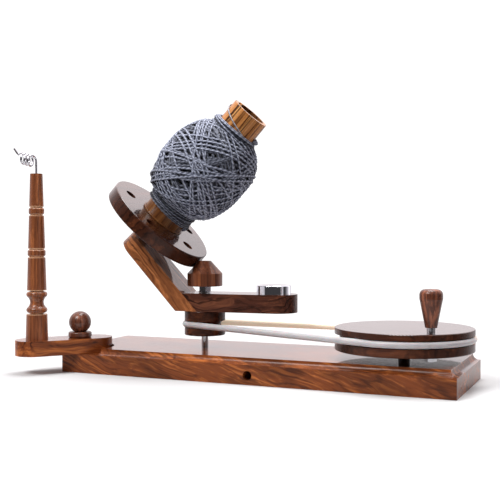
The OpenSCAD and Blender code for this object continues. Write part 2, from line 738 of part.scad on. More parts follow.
module handle_ferrule() {
    color(steel) at_crank() difference() {
        union() {
            rod(ferrule_r, ferrule_low, grip_low - fit_gap);
            rod(bolt_head_r + air_gap - fit_gap, grip_low - fit_gap - eps, grip_low + ferrule_plug);
        }
        rod(crank_bolt_r + run_gap, 0, far);
    }
}

// Yarn guide
module guide_plate() {
    color(warm_wood) at_guide() difference() {
        translate([0, 0, plate_low]) linear_extrude(plate_t) union() {
            translate([plate_w / 2 - plate_tail, -plate_w / 2])
                square([plate_tail + post_reach + plate_nose - plate_w, plate_w]);
            for (x = [plate_w / 2 - plate_tail, post_reach + plate_nose - plate_w / 2])
                translate([x, 0]) circle(plate_w / 2);
        }
        rod(rod_r + run_gap, -1, far);
        translate([post_reach, 0, plate_low]) screw_hole(screw_r, plate_t);
    }
}
// Radius of the post's cone at a height above its foot
function post_r(z) = post_foot_r + (post_top_r - post_foot_r) * z / post_h;
module post_section(low, high) { polygon([[0, low], [post_r(low), low], [post_r(high), high], [0, high]]); }
module post_bead(low, high, r) {
    half = (high - low) / 2;
    translate([0, low]) square([r - half, 2 * half]);
    translate([r - half, low + half]) circle(half);
}
module guide_post() {
    vase = post_foot_h;
    tapers = vase + vase_h;
    bead = 6.5;
    cove = 8;
    proud = 0.2;
    color(warm_wood) at_post() difference() {
        translate([0, 0, plate_top]) rotate_extrude() difference() {
            union() {
                post_section(0, vase);
                translate([0, vase - eps]) square([vase_neck_r, vase_h + 2 * eps]);
                post_bead(vase + groove_d, vase + groove_d + bead, post_r(vase));
                post_bead(tapers - groove_d - bead, tapers - groove_d, post_r(vase));
                difference() {
                    translate([0, vase + groove_d + bead / 2]) square([post_r(vase) - 1, vase_h - 2 * groove_d - bead]);
                    translate([vase_neck_r + cove, vase + vase_h / 2]) circle(cove);
                }
                for (k = [0 : 2]) {
                    low = tapers + k * (post_taper + post_ring);
                    post_section(low, low + post_taper);
                }
                for (k = [0 : 1]) {
                    low = tapers + post_taper + k * (post_taper + post_ring);
                    translate([0, low - eps]) square([post_r(low) - groove_d, post_ring + 2 * eps]);
                    turned_block(post_r(low) + proud, low + groove_d, low + post_ring - groove_d, 1.8);
                }
            }
            translate([-far, 0]) square([far, far]);
        }
        rod(screw_r + fit_gap, plate_top - 1, plate_top + post_screw_in + fit_gap);
        rod(wire_d / 2 + fit_gap, plate_top + post_h - wire_sunk - fit_gap, far);
    }
}
module post_screw() { color(steel) at_post() translate([0, 0, plate_low]) wood_screw(screw_r, plate_t + post_screw_in); }
// Wire: straight up out of the post, over into turns about a level axis, and out to a short tail
function wire_points() =
    let (foot = plate_top + post_h, mid = foot + wire_rise, rings = 12,
         rise = [for (z = [-wire_sunk, -wire_sunk + wire_d, 0, wire_rise - curl_r, wire_rise - 1]) [curl_r, z]],
         turns = [for (k = [1 : curls * rings + 5]) [-curl_step * k / rings, 360 * k / rings]],
         last = turns[len(turns) - 1])
    concat([for (p = rise) [0, p[0] - curl_r, foot + p[1]]],
           [for (p = turns) [p[0], curl_r * (cos(p[1]) - 1), mid + curl_r * sin(p[1])]],
           [for (k = [1 : 3]) [last[0], curl_r * (cos(last[1]) - 1), mid + curl_r * sin(last[1])] + k * end_step]);
module guide_wire() {
    route = wire_points();
    echo(wire_least_gap = least_gap(with_middles(route), 10, wire_d));
    place = [cos(guide_angle), sin(guide_angle)] * post_reach;
    color(steel) at_knob() translate([place[0], place[1], 0]) sweep(route, wire_d, 8, [1, 0, 0]);
}
module clamp_knob() {
    edge = 2;
    color(dark_wood) at_knob() difference() {
        rotate_extrude() difference() {
            union() {
                turned_block(collar_r, knob_low, knob_low + collar_h, edge);
                translate([0, knob_mid]) circle(knob_r);
            }
            translate([-far, 0]) square([far, far]);
        }
        rod(rod_r + fit_gap, 0, knob_mid + fit_gap);
    }
}
module knob_stud() { color(steel) at_knob() rod(rod_r, shoulder_h - insert_h + 1, knob_mid); }

base_board();
main_shaft();
shaft_nuts();
shaft_washers();
friction_cone();
wheel_axle();
axle_washer();
wheel_spacer();
drive_belt();
knob_insert();
arm_foot();
arm_upright();
joint_dowels();
flyer_bush();
small_pulley();
pulley_screws();
counterweight();
counterweight_screw();
bobbin_spindle();
spindle_nuts();
spindle_washers();
spindle_spacer();
bobbin_disc();
tube_ring();
bobbin_tube();
bobbin_bush();
disc_screws();
yarn_core();
yarn_winding();
drive_wheel();
wheel_bush();
crank_bolt();
crank_washer();
crank_nut();
handle_grip();
handle_ferrule();
guide_plate();
guide_post();
guide_wire();
post_screw();
clamp_knob();
knob_stud();
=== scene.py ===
# %% [markdown]
# # A hand-cranked yarn ball winder
#
# The winder turns a ball of yarn round two axes at once. A big wooden wheel with a crank drives a small
# pulley through a round belt. The pulley carries a bent arm, the flyer, and the flyer carries a tilted
# bobbin whose disc rolls on a wooden cone. Every rigid piece comes from the CAD model, so this lesson is
# about finishes: lacquered rosewood, bright steel, a milky belt, and one long plied yarn laid on its ball
# loop by loop.
#
# The CAD model is loaded first and stays where it is.

# %% Load the packed model
import json
import math
import random

import bpy
import numpy as np
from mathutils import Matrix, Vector


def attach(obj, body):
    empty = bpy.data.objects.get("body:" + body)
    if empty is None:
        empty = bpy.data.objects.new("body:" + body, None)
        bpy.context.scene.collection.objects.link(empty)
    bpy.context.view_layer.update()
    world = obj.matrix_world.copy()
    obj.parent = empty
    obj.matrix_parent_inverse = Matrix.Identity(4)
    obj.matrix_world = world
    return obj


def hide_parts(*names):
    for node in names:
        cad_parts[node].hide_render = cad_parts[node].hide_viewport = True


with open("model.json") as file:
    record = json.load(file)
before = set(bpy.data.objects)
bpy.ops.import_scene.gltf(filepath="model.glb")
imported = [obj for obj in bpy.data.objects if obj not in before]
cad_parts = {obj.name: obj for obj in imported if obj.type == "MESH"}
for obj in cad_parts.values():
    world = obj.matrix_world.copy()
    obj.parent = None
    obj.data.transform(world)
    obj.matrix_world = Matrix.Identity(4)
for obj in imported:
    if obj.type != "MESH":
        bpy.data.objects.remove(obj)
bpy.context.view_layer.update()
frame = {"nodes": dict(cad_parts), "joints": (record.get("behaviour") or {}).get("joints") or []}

NODES = frame["nodes"]
MM = 0.001

# %% [markdown]
# ## The camera
#
# The picture was taken from just above the table with a longish lens, so the base's long edges hardly
# converge. A camera can be aimed with a Track To constraint at an empty, but then its turn is hidden in
# the constraint. Its place and lens were worked out from the corners of the base and the ellipse of the
# wheel, so two plain angles say it all: tip the camera up to level, then turn it about the upright axis.

# %% Camera at the photographed angle
LENS_MM = 64.58
SENSOR_MM = 36
CAMERA_AT = (0.3825, -0.9288, 0.1601)
CAMERA_PITCH = math.radians(88.88)
CAMERA_TURN = math.radians(23.42)


def new_object(name, data):
    """An object that is in the scene."""
    obj = bpy.data.objects.new(name, data)
    bpy.context.scene.collection.objects.link(obj)
    return obj


lens = bpy.data.cameras.new("camera")
lens.lens = LENS_MM
lens.sensor_width = SENSOR_MM
camera = new_object("camera", lens)
camera.location = CAMERA_AT
camera.rotation_euler = (CAMERA_PITCH, 0, CAMERA_TURN)
bpy.context.scene.camera = camera
print("camera at", CAMERA_AT, "with a lens of", LENS_MM, "mm")

# %% [markdown]
# ## A socket that can be used in sums
#
# A finish is mostly arithmetic on noise: stretch it along the grain, mix two of them, darken a share.
# Joined by hand, each plus and times is a node to place and wire. So one small class wraps a socket. Plus,
# minus, times and divide add Math nodes, from either side of the sign, and `add` makes any other node from
# its type, its settings and its inputs.

# %% The wrapper
class Wire:
    """A shader socket that understands + - * / and can add any other node to its tree."""

    def __init__(self, tree, socket=None):
        self.tree = tree
        self.socket = socket

    def add(self, kind, settings=None, inputs=None, out=0):
        """A new node: its type, its settings, what its sockets get, and the output to go on with."""
        node = self.tree.nodes.new(kind)
        for name, value in (settings or {}).items():
            if name == "stops":
                set_stops(node.color_ramp.elements, value)
            else:
                setattr(node, name, value)
        for name, value in (inputs or {}).items():
            put_in(node.inputs[name], value)
        return Wire(self.tree, node.outputs[out])

    def output(self, name):
        """Another output of the node that this wire comes from."""
        return Wire(self.tree, self.socket.node.outputs[name])

    def math(self, operation, a, b=0.0):
        return self.add("ShaderNodeMath", {"operation": operation}, {0: a, 1: b})

    def __add__(self, other):
        return self.math("ADD", self, other)

    def __radd__(self, other):
        return self.math("ADD", other, self)

    def __sub__(self, other):
        return self.math("SUBTRACT", self, other)

    def __rsub__(self, other):
        return self.math("SUBTRACT", other, self)

    def __mul__(self, other):
        return self.math("MULTIPLY", self, other)

    def __rmul__(self, other):
        return self.math("MULTIPLY", other, self)

    def __truediv__(self, other):
        return self.math("DIVIDE", self, other)

    def __rtruediv__(self, other):
        return self.math("DIVIDE", other, self)

    def vector(self, operation, a, b=(0, 0, 0), out="Vector"):
        return self.add("ShaderNodeVectorMath", {"operation": operation}, {0: a, 1: b}, out)

    def between(self, low, high):
        """0 below low, 1 above high, smooth between."""
        return self.add("ShaderNodeMapRange", {"interpolation_type": "SMOOTHSTEP"},
                        {"Value": self, "From Min": low, "From Max": high})

    def band(self, rise, fall):
        """1 from the end of rise to the start of fall, 0 outside them."""
        return self.between(*rise) * (1 - self.between(*fall))

    def ramp(self, stops):
        return self.add("ShaderNodeValToRGB", {"stops": stops}, {"Fac": self})

    def mix(self, factor, colour):
        """This colour with another laid over it by factor. A Mix node's colours are its sockets 6 and 7."""
        return self.add("ShaderNodeMix", {"data_type": "RGBA"}, {0: factor, 6: self, 7: colour}, out=2)

    def noise(self, stretch, detail=3.0, rough=0.5, shift=(0, 0, 0), warp=0.0):
        """Noise on this vector, with its own scale on each axis."""
        place = self.add("ShaderNodeMapping", None, {"Vector": self, "Location": shift, "Scale": stretch})
        return self.add("ShaderNodeTexNoise", None, {
            "Vector": place, "Scale": 1.0, "Detail": detail, "Roughness": rough, "Distortion": warp})


def put_in(socket, value):
    """Link a wire to a socket, or set a constant on it."""
    if isinstance(value, Wire):
        value.tree.links.new(value.socket, socket)
    else:
        socket.default_value = value


def set_stops(ramp, stops):
    """Give a colour ramp these stops, each a place and a colour."""
    while len(ramp) < len(stops):
        ramp.new(0.5)
    for stop, (place, colour) in zip(ramp, stops):
        stop.position = place
        stop.color = (*colour, 1)


print("a wire can", ", ".join(name for name in vars(Wire) if not name.startswith("_")))

# %% [markdown]
# A material starts as one Principled shader joined to the output. These helpers make it, fill its sockets
# by name and, where two shaders are mixed, put the mix last.

# %% Materials from wires
def rgba(r, g, b):
    return (r, g, b, 1)


def shade(colour, share):
    """A colour with each part multiplied by share."""
    return rgba(*[c * share for c in colour])


def new_material(name):
    """A material, a wire in its tree, and its shader node."""
    mat = bpy.data.materials.new(name)
    mat.use_nodes = True
    tree = mat.node_tree
    tree.nodes.clear()
    shader = tree.nodes.new("ShaderNodeBsdfPrincipled")
    output = tree.nodes.new("ShaderNodeOutputMaterial")
    tree.links.new(shader.outputs[0], output.inputs["Surface"])
    return mat, Wire(tree), shader


def feed(shader, **values):
    """Fill the shader's sockets, named with _ for a space."""
    for name, value in values.items():
        put_in(shader.inputs[name.replace("_", " ")], value)


def last_shader(wire):
    """Make a wire the last shader of its tree, in place of the first one."""
    output = next(node for node in wire.tree.nodes if "Output" in node.bl_idname)
    put_in(output.inputs["Surface"], wire)


def object_place(wire):
    """The place on a piece in object space, so that a pattern moves with its piece."""
    return wire.add("ShaderNodeTexCoord", out="Object")


def bumps(wire, height, strength, depth):
    """A Bump node's normal: how strong it is, and how deep in metres a height of 1 is."""
    return wire.add("ShaderNodeBump", None, {"Strength": strength, "Distance": depth, "Height": height})


print("a shade of half white", shade((1, 1, 1), 0.5))

# %% [markdown]
# ## A plain studio
#
# The object stands on a pale floor under soft light. Lacquer and chrome need something to mirror: white
# behind and above, dark in front, and a tall bright window on each side, as in a room where only the table
# is lit. A photographed room could be wrapped round the scene as an image, but sums on the direction of a
# ray do it here and are easy to tune.
#
# The camera itself sees plain white. Mirrored rays see the whole room and other rays half of it, so that
# the softboxes do the modelling of round pieces.

# %% The room that the lacquer mirrors
bpy.context.scene.view_settings.view_transform = "Standard"
world = bpy.data.worlds.new("studio")
bpy.context.scene.world = world
world.use_nodes = True
world.node_tree.nodes.clear()
world.node_tree.nodes.new("ShaderNodeOutputWorld")

sky = Wire(world.node_tree)
across = sky.add("ShaderNodeSeparateXYZ", None, {0: sky.add("ShaderNodeTexCoord", out="Generated")}, out="X")
along = across.output("Y")
height = across.output("Z")
ACROSS_VIEW = Vector((math.cos(CAMERA_TURN), math.sin(CAMERA_TURN), 0))
depth = along * ACROSS_VIEW.x - across * ACROSS_VIEW.y
beside = across * ACROSS_VIEW.x + along * ACROSS_VIEW.y

back_wall = depth.between(-0.25, 0.6) * (0.85 + height.between(0.05, 0.5) * 0.4)
ceiling = height.between(0.3, 0.9) * 0.9
right_window = beside.band((0.70, 0.76), (0.86, 0.92))
left_window = (1 - beside.between(-0.93, -0.88)) * 0.8
window_height = height.band((-0.11, -0.06), (0.45, 0.6))
glow = 0.05 + back_wall + ceiling + (right_window + left_window) * window_height * 0.9

seen = sky.add("ShaderNodeLightPath", out="Is Camera Ray")
mirrored = seen.output("Is Glossy Ray")
plain = sky.add("ShaderNodeBackground", None, {"Color": rgba(1, 1, 1), "Strength": 1.15})
room = sky.add("ShaderNodeBackground", None,
               {"Color": rgba(1.0, 0.925, 0.947), "Strength": glow * (mirrored * 0.5 + 0.5)})
last_shader(sky.add("ShaderNodeMixShader", None, {0: seen, 1: room, 2: plain}))
print("room made of", len(world.node_tree.nodes), "nodes")

# %% [markdown]
# Three softboxes light it: a strong one from the upper left, one from above that draws the edges, and a
# weak one that opens the shadows on the right. Sun lamps would do for a product picture too, but their
# shadows are hard.

# %% Softboxes
def softbox(name, at, aim, size, power):
    lamp = bpy.data.lights.new(name, "AREA")
    lamp.energy = power
    lamp.shape = "SQUARE"
    lamp.size = size
    light = new_object(name, lamp)
    light.location = at
    light.rotation_euler = (Vector(aim) - Vector(at)).to_track_quat("-Z", "Y").to_euler()


softbox("key_softbox", at=(-0.6, -1.3, 1.7), aim=(0, 0, 0.1), size=0.8, power=36)
softbox("fill_softbox", at=(1.6, -1.2, 0.9), aim=(0, 0, 0.1), size=1.0, power=3)
softbox("top_softbox", at=(0.1, 0.3, 1.9), aim=(0, 0, 0), size=1.0, power=34)

# %% [markdown]
# The floor is there for the soft shadow under the base. A large one would shine into every face that looks
# to the front, so it fades out a little way from the object: its shader is mixed with a clear one by the
# distance.

# %% Floor
FLOOR_HALF = 1.2
FADE_FROM = 0.28
FADE_TO = 0.62

floor_mesh = bpy.data.meshes.new("floor")
corners = [(-FLOOR_HALF, -FLOOR_HALF, 0), (FLOOR_HALF, -FLOOR_HALF, 0),
           (FLOOR_HALF, FLOOR_HALF, 0), (-FLOOR_HALF, FLOOR_HALF, 0)]
floor_mesh.from_pydata(corners, [], [(0, 1, 2, 3)])
floor = new_object("floor", floor_mesh)

floor_mat, wire, shader = new_material("pale_floor")
feed(shader, Base_Color=rgba(0.62, 0.625, 0.63), Roughness=0.9, Specular_IOR_Level=0.1)
away = wire.vector("LENGTH", object_place(wire), out="Value")
clear = wire.add("ShaderNodeBsdfTransparent")
painted = Wire(wire.tree, shader.outputs[0])
fade = away.between(FADE_FROM, FADE_TO)
last_shader(wire.add("ShaderNodeMixShader", None, {0: fade, 1: painted, 2: clear}))
floor_mesh.materials.append(floor_mat)
print("floor", 2 * FLOOR_HALF, "m wide, gone", FADE_TO, "m from the middle")

# %% [markdown]
# ## Lacquered rosewood
#
# Rosewood is orange-brown with near-black figure that flows along the board and swirls where the tree
# branched. A photograph of a board could be laid on each face, but the grain would break at every edge.
# Noise in space runs through a piece as through a real block, and object space moves with its piece.
#
# Two kinds of mark are drawn first. The year rings are dark lines round the heart of the tree, which lay
# beside the board. On the post, the lathe tool cut fine grooves through the stain, down to bare wood.

# %% Year rings and bare cuts
RING_MM = 9.0
BARE_WOOD = rgba(0.68, 0.40, 0.24)
CUT_CLEAN = 1.0 * MM
CUT_GONE = 1.6 * MM


def along_grain(wire, grain):
    """Object space turned so that x runs along the grain."""
    turn = Vector(grain).to_track_quat("X", "Z").to_euler()
    return wire.add("ShaderNodeMapping", {"vector_type": "TEXTURE"},
                    {"Vector": object_place(wire), "Rotation": turn})


def year_rings(pulled, flow, wobble, pith, fine):
    """Dark lines round the heart of the tree at pith, in metres, broken up where the grain wobbles."""
    y = pulled.add("ShaderNodeSeparateXYZ", None, {0: pulled}, out="Y")
    from_heart_y = y - pith[0]
    from_heart_z = y.output("Z") - pith[1]
    heart = y.math("SQRT", from_heart_y * from_heart_y + from_heart_z * from_heart_z)
    year = y.math("SINE", (heart / (RING_MM * MM / fine) + flow * 1.6) * math.tau)
    return year.between(0.55, 1.0) * wobble.between(0.36, 0.58)


def bare_cuts(colour, cuts):
    """Bare wood in grooves at these heights in mm."""
    height = colour.add("ShaderNodeSeparateXYZ", None, {0: object_place(colour)}, out="Z")
    for cut in cuts:
        away = height.math("ABSOLUTE", height - cut * MM)
        colour = colour.mix((1 - away.between(CUT_CLEAN, CUT_GONE)) * 0.9, BARE_WOOD)
    return colour


print("year rings every", RING_MM, "mm, cuts", 2 * CUT_GONE / MM, "mm wide")

# %% [markdown]
# The bobbin's tube is paler wood. Painted shade darkens its bore and, towards its foot, the shade under
# the ball. Both follow the tube's own axis, which the frame gives with the joint that the bobbin turns on.

# %% Shades of the bobbin's tube
JOINTS = {joint["name"]: joint for joint in frame["joints"]}
BOBBIN_AXIS = Vector(JOINTS["bobbin_spin"]["axis"])
BOBBIN_AT = Vector(JOINTS["bobbin_spin"]["pos_m"])
BORE_R = 18.1
BORE_EDGE = 0.4
FOOT_SHADE_FULL = 8 * MM
FOOT_SHADE_GONE = 45 * MM


def tube_shades(colour, dark):
    """Painted shade: dark inside the bore and towards the foot of the tube."""
    out = colour.vector("SUBTRACT", object_place(colour), BOBBIN_AT)
    reach = out.vector("LENGTH", out.vector("CROSS_PRODUCT", out, BOBBIN_AXIS), out="Value")
    climb = out.vector("DOT_PRODUCT", out, BOBBIN_AXIS, out="Value")
    bore = 1 - reach.between(BORE_R * MM, (BORE_R + BORE_EDGE) * MM)
    foot = 1 - climb.between(FOOT_SHADE_FULL, FOOT_SHADE_GONE)
    return colour.mix(bore * 0.75, shade(dark, 0.6)).mix(foot * 0.8, shade(dark, 1.2))


print("bobbin axis", [round(c, 3) for c in BOBBIN_AXIS])

# %% [markdown]
# One function makes every wood. From broad to fine it layers the flowing figure, cloudy patches, year
# rings, streaks and short pores. Each board was cut from its own place in the tree, so every finish shifts
# the pattern.
#
# - `figure`, `streak` and `patch` say how strong these layers are, and `swirl` how far the grain wanders,
#   in metres.
# - `fine` makes the whole pattern smaller, and `thin` only its width across the grain.
# - `coat` is the lacquer on faces that look up, where a cloth reaches easily to buff it, and `side` that
#   on the others. `buff` says how far up they look, `satin` how dull the lacquer is, and `gloss` how rough
#   the wood under it is.

# %% Wood
def wood(name, grain, light, middle, dark, shift=(0, 0, 0), figure=0.5, streak=0.5, patch=0.0, swirl=0.012,
         fine=1.0, thin=1.0, pith=(0.045, 0.03), gloss=0.16, coat=0.9, side=0.05, buff=(0.4, 0.7), satin=0.05,
         cuts=(), hollow=False):
    """Lacquered wood whose grain runs along the vector grain, in object space."""
    mat, wire, shader = new_material(name)
    turned = along_grain(wire, grain)
    wobble = turned.noise((6 * fine, 13 * fine, 13 * fine), detail=2, shift=shift)
    pulled = wire.add("ShaderNodeVectorMath", {"operation": "MULTIPLY_ADD"},
                      {0: wobble.output("Color"), 1: (swirl * 0.6, swirl, swirl), 2: turned})
    width = 70 * fine * thin
    flow = pulled.noise((5 * fine, width, width), detail=4, rough=0.55, shift=shift, warp=0.3)
    lines = pulled.noise((14, 420, 420), detail=3, rough=0.6, shift=shift)
    pore = 1 - turned.noise((120, 2600, 2600), detail=1, shift=shift).between(0.30, 0.42)

    tone = (flow - 0.5) * (0.8 + figure * 1.2) + (lines - 0.5) * streak + 0.5
    colour = tone.ramp([(0.08, dark), (0.36, middle), (0.52, middle), (0.80, light)])
    if patch:
        broad = pulled.noise((11, 34, 34), detail=3, rough=0.6, shift=shift, warp=0.5)
        colour = colour.mix(broad.between(0.44, 0.60) * patch, shade(middle, 0.38))
    colour = colour.mix(year_rings(pulled, flow, wobble, pith, fine) * (figure * 1.1), shade(dark, 0.5))
    colour = colour.mix(pore * 0.25, shade(dark, 0.5))
    # painted shade in the tube's bore and towards its foot
    if hollow:
        colour = tube_shades(colour, dark)
    if cuts:
        colour = bare_cuts(colour, cuts)

    normal = wire.add("ShaderNodeNewGeometry", out="Normal")
    facing = wire.add("ShaderNodeSeparateXYZ", None, {0: normal}, out="Z")
    feed(shader, Base_Color=colour, Roughness=gloss + lines * 0.16 + pore * 0.1,
         Normal=bumps(wire, lines * 0.4 - pore * 0.5, 0.03, 0.3 * MM),
         Specular_IOR_Level=0.14, Coat_Weight=facing.between(*buff) * (coat - side) + side,
         Coat_Roughness=satin, Coat_IOR=1.5)
    return mat


print("wood:", wood.__doc__)

# %% [markdown]
# A board's grain runs along its length, because wood is strongest that way. Turned pieces stand upright on
# the lathe's axis. The arm is turned about the shaft, so its directions come from the bobbin's axis.

# %% Directions of the grain
UP = Vector((0, 0, 1))
ALONG_BASE = Vector((1, 0, 0))
SLANTED = Vector((0.955, 0.0, -0.30))
FLYER_YAW = math.atan2(BOBBIN_AXIS.y, BOBBIN_AXIS.x)
ALONG_ARM = Vector((math.cos(FLYER_YAW), math.sin(FLYER_YAW), 0))
ARM_BACK = UP.cross(ALONG_ARM)
UPRIGHT_SLOPE = math.radians(48)
ALONG_UPRIGHT = ALONG_ARM * math.cos(UPRIGHT_SLOPE) - UP * math.sin(UPRIGHT_SLOPE)
GUIDE_TURN = math.radians(-128.5)
ALONG_PLATE = Vector((math.cos(GUIDE_TURN), math.sin(GUIDE_TURN), 0))
print("arm turned by", round(math.degrees(FLYER_YAW), 1), "degrees")

# %% [markdown]
# The base and the guide are the reddest pieces. The base's figure crosses its front face at a slant, as it
# does where the board was sawn a little off the trunk's line, and darker clouds lie in it. The post's fine
# grooves get the bare cuts, at heights in mm above the table.

# %% Base and guide
RICH = dict(light=(0.47, 0.140, 0.034), middle=(0.200, 0.051, 0.014), dark=(0.045, 0.013, 0.007))
SATIN_LACQUER = dict(gloss=0.30, coat=0.5, side=0.5, satin=0.2)
POST_CUTS = (68.1, 93.7, 132.4, 141.2, 179.9, 188.7)

finishes = {}
finishes["base_board"] = wood(
    "rosewood_base", SLANTED, **RICH, figure=0.5, streak=1.15, patch=0.62, swirl=0.024, fine=2.3,
    pith=(-0.16, 0.09), buff=(0.78, 0.97))
finishes["guide_plate"] = wood(
    "rosewood_plate", ALONG_PLATE, **RICH, shift=(3, 1, 2), figure=0.8, streak=1.0, patch=0.15, swirl=0.03,
    fine=1.8)
finishes["guide_post"] = wood(
    "rosewood_post", UP, light=(0.43, 0.138, 0.046), middle=(0.225, 0.068, 0.025), dark=(0.060, 0.020, 0.010),
    shift=(5, 2, 7), figure=0.5, streak=1.1, swirl=0.006, fine=2.4, cuts=POST_CUTS, **SATIN_LACQUER)
finishes["clamp_knob"] = wood(
    "rosewood_knob", UP, light=(0.260, 0.084, 0.040), middle=(0.105, 0.033, 0.017),
    dark=(0.020, 0.008, 0.005), shift=(1, 2, 9), figure=0.35, streak=0.6, fine=2.0, **SATIN_LACQUER)
print("base and guide dressed in", len(finishes), "woods")

# %% [markdown]
# The arm is glued from two boards, a dark foot and a paler, strongly figured upright, and dowels hold the
# joint. Under the foot is the pulley, and above it the cone, which is handled less than the rest and duller.

# %% Arm, cone and pulley
DEEP = dict(light=(0.118, 0.036, 0.015), middle=(0.046, 0.014, 0.007), dark=(0.012, 0.004, 0.003))
AMBER = dict(light=(0.86, 0.420, 0.140), middle=(0.52, 0.205, 0.060), dark=(0.055, 0.017, 0.006))
DULL_LACQUER = dict(gloss=0.32, coat=0.4, side=0.4, satin=0.2)

finishes["arm_foot"] = wood(
    "rosewood_foot", ALONG_ARM, light=(0.165, 0.058, 0.030), middle=(0.076, 0.026, 0.016),
    dark=(0.022, 0.009, 0.006), shift=(7, 3, 1), figure=0.8, streak=0.9, swirl=0.040, fine=2.0)
finishes["arm_upright"] = wood(
    "amber_upright", ALONG_UPRIGHT, light=(0.52, 0.185, 0.060), middle=(0.245, 0.080, 0.026),
    dark=(0.050, 0.016, 0.008), shift=(2, 6, 5), figure=0.65, streak=0.9, swirl=0.040, fine=1.9, gloss=0.42)
finishes["joint_dowels"] = wood("amber_dowel", ALONG_UPRIGHT, **AMBER, shift=(9, 9, 9))
finishes["small_pulley"] = wood("rosewood_pulley", ALONG_ARM, **DEEP, shift=(4, 4, 9), figure=0.4)
finishes["friction_cone"] = wood(
    "rosewood_cone", UP, light=(0.25, 0.078, 0.030), middle=(0.125, 0.036, 0.015), dark=(0.030, 0.011, 0.006),
    shift=(1, 8, 3), figure=0.4, streak=0.9, **DULL_LACQUER)
print("with arm, cone and pulley", len(finishes), "woods")

# %% [markdown]
# The wheel and the bobbin's disc are the darkest wood, under the thickest lacquer: seen at a low angle
# they mirror the white room and look grey. The bobbin's tube is the palest, with narrow streaks and hardly
# any shine.

# %% Bobbin, wheel and crank
finishes["bobbin_disc"] = wood(
    "rosewood_disc", ARM_BACK, **DEEP, shift=(8, 1, 4), figure=0.5, swirl=0.016, coat=0.92)
finishes["tube_ring"] = wood(
    "amber_ring", BOBBIN_AXIS, **AMBER, shift=(9, 5, 2), figure=0.3, coat=0.3, hollow=True)
finishes["bobbin_tube"] = wood(
    "amber_tube", BOBBIN_AXIS, **AMBER, shift=(6, 7, 1), figure=0.8, streak=1.1, swirl=0.001, thin=3.2,
    coat=0.25, hollow=True)
finishes["drive_wheel"] = wood(
    "rosewood_wheel", ALONG_BASE, **DEEP, shift=(2, 9, 6), figure=0.4, swirl=0.014, coat=1.0)
finishes["handle_grip"] = wood(
    "rosewood_grip", UP, light=(0.290, 0.090, 0.042), middle=(0.095, 0.028, 0.014),
    dark=(0.014, 0.005, 0.003), shift=(3, 3, 8), figure=0.8, streak=1.2, fine=2.0, **DULL_LACQUER)
print("with bobbin, wheel and crank", len(finishes), "woods")

# %% [markdown]
# ## Metal
#
# Turned steel has faint rings and smudges, so its roughness wanders and fine lines bump its surface.
# Chrome is nearly a mirror, with a trace of fingerprints. An even roughness is quicker to set, but it
# looks like plastic. Every fastener without a finish of its own is bright steel.

# %% Metals
def metal(name, colour, rough, wear, smudges):
    """Bare metal: its roughness, what wear adds to it, and about how many smudges there are to a metre."""
    mat, wire, shader = new_material(name)
    place = object_place(wire)
    smudge = place.noise((smudges, smudges, smudges), detail=4)
    lines = place.noise((300, 300, 4200), detail=2)
    tint = smudge.ramp([(0.3, [c * 0.86 for c in colour]), (0.7, colour)])
    feed(shader, Base_Color=tint, Metallic=1.0, Roughness=rough + smudge * wear + lines * wear * 0.5,
         Normal=bumps(wire, lines, 0.06, 0.2 * MM))
    return mat


bright_steel = metal("bright_steel", (0.54, 0.54, 0.56), 0.12, 0.08, 60)
polished_wire = metal("polished_wire", (0.66, 0.66, 0.69), 0.04, 0.03, 60)
satin_brass = metal("satin_brass", (0.72, 0.55, 0.26), 0.26, 0.15, 200)
finishes["counterweight"] = metal("mirror_chrome", (0.82, 0.85, 0.92), 0.02, 0.03, 60)
for node in ("flyer_bush", "bobbin_bush", "wheel_bush", "knob_insert"):
    finishes[node] = satin_brass
print("with chrome and brass", len(finishes), "finishes")

# %% [markdown]
# ## Plastic
#
# The two spacers are black moulded plastic, dull from the grit of its mould. The belt is a milky cord.
# Light goes into it and scatters, and for the near run some subsurface is enough. The far run stands
# against the light and looks creamy, because light comes through it. A true see-through belt would be noisy
# to render, so the far run is given a warmer colour and a faint glow of its own instead.

# %% Spacers and belt
FAR_RUN_FROM = -0.01
FAR_RUN_TO = 0.02


def black_plastic():
    mat, wire, shader = new_material("black_spacer")
    grit = object_place(wire).noise((900, 900, 900), detail=2)
    colour = grit.ramp([(0.3, (0.006, 0.006, 0.007)), (0.8, (0.016, 0.016, 0.018))])
    feed(shader, Base_Color=colour, Roughness=0.38 + grit * 0.15, Normal=bumps(wire, grit, 0.1, 0.2 * MM))
    return mat


def milky_belt():
    mat, wire, shader = new_material("milky_belt")
    place = object_place(wire)
    cloud = place.noise((60, 260, 260), detail=3)
    far = place.add("ShaderNodeSeparateXYZ", None, {0: place}, out="Y").between(FAR_RUN_FROM, FAR_RUN_TO)
    near_colour = cloud.ramp([(0.3, (0.42, 0.40, 0.41)), (0.7, (0.50, 0.48, 0.49))])
    feed(shader, Base_Color=near_colour.mix(far, rgba(0.80, 0.70, 0.56)), Roughness=0.32 + cloud * 0.12,
         Subsurface_Weight=0.25, Subsurface_Scale=3 * MM,
         Emission_Color=far.ramp([(0, (0, 0, 0)), (1, (0.36, 0.30, 0.23))]), Emission_Strength=1.0)
    return mat


spacer_black = black_plastic()
for node in ("wheel_spacer", "spindle_spacer"):
    finishes[node] = spacer_black
finishes["drive_belt"] = milky_belt()
print("with plastic", len(finishes), "finishes")

# %% [markdown]
# ## Dress the pieces
#
# A CAD piece comes with a plain stand-in colour. Painting faces one by one is for pieces of two materials;
# here each node is a piece of one material, so its single slot gets the finish that its name asks for.

# %% Dress the CAD nodes
for name, obj in NODES.items():
    obj.data.materials.clear()
    obj.data.materials.append(finishes.get(name, bright_steel))
print("dressed", len(NODES), "nodes,", len(NODES) - len(finishes), "of them in bright steel")
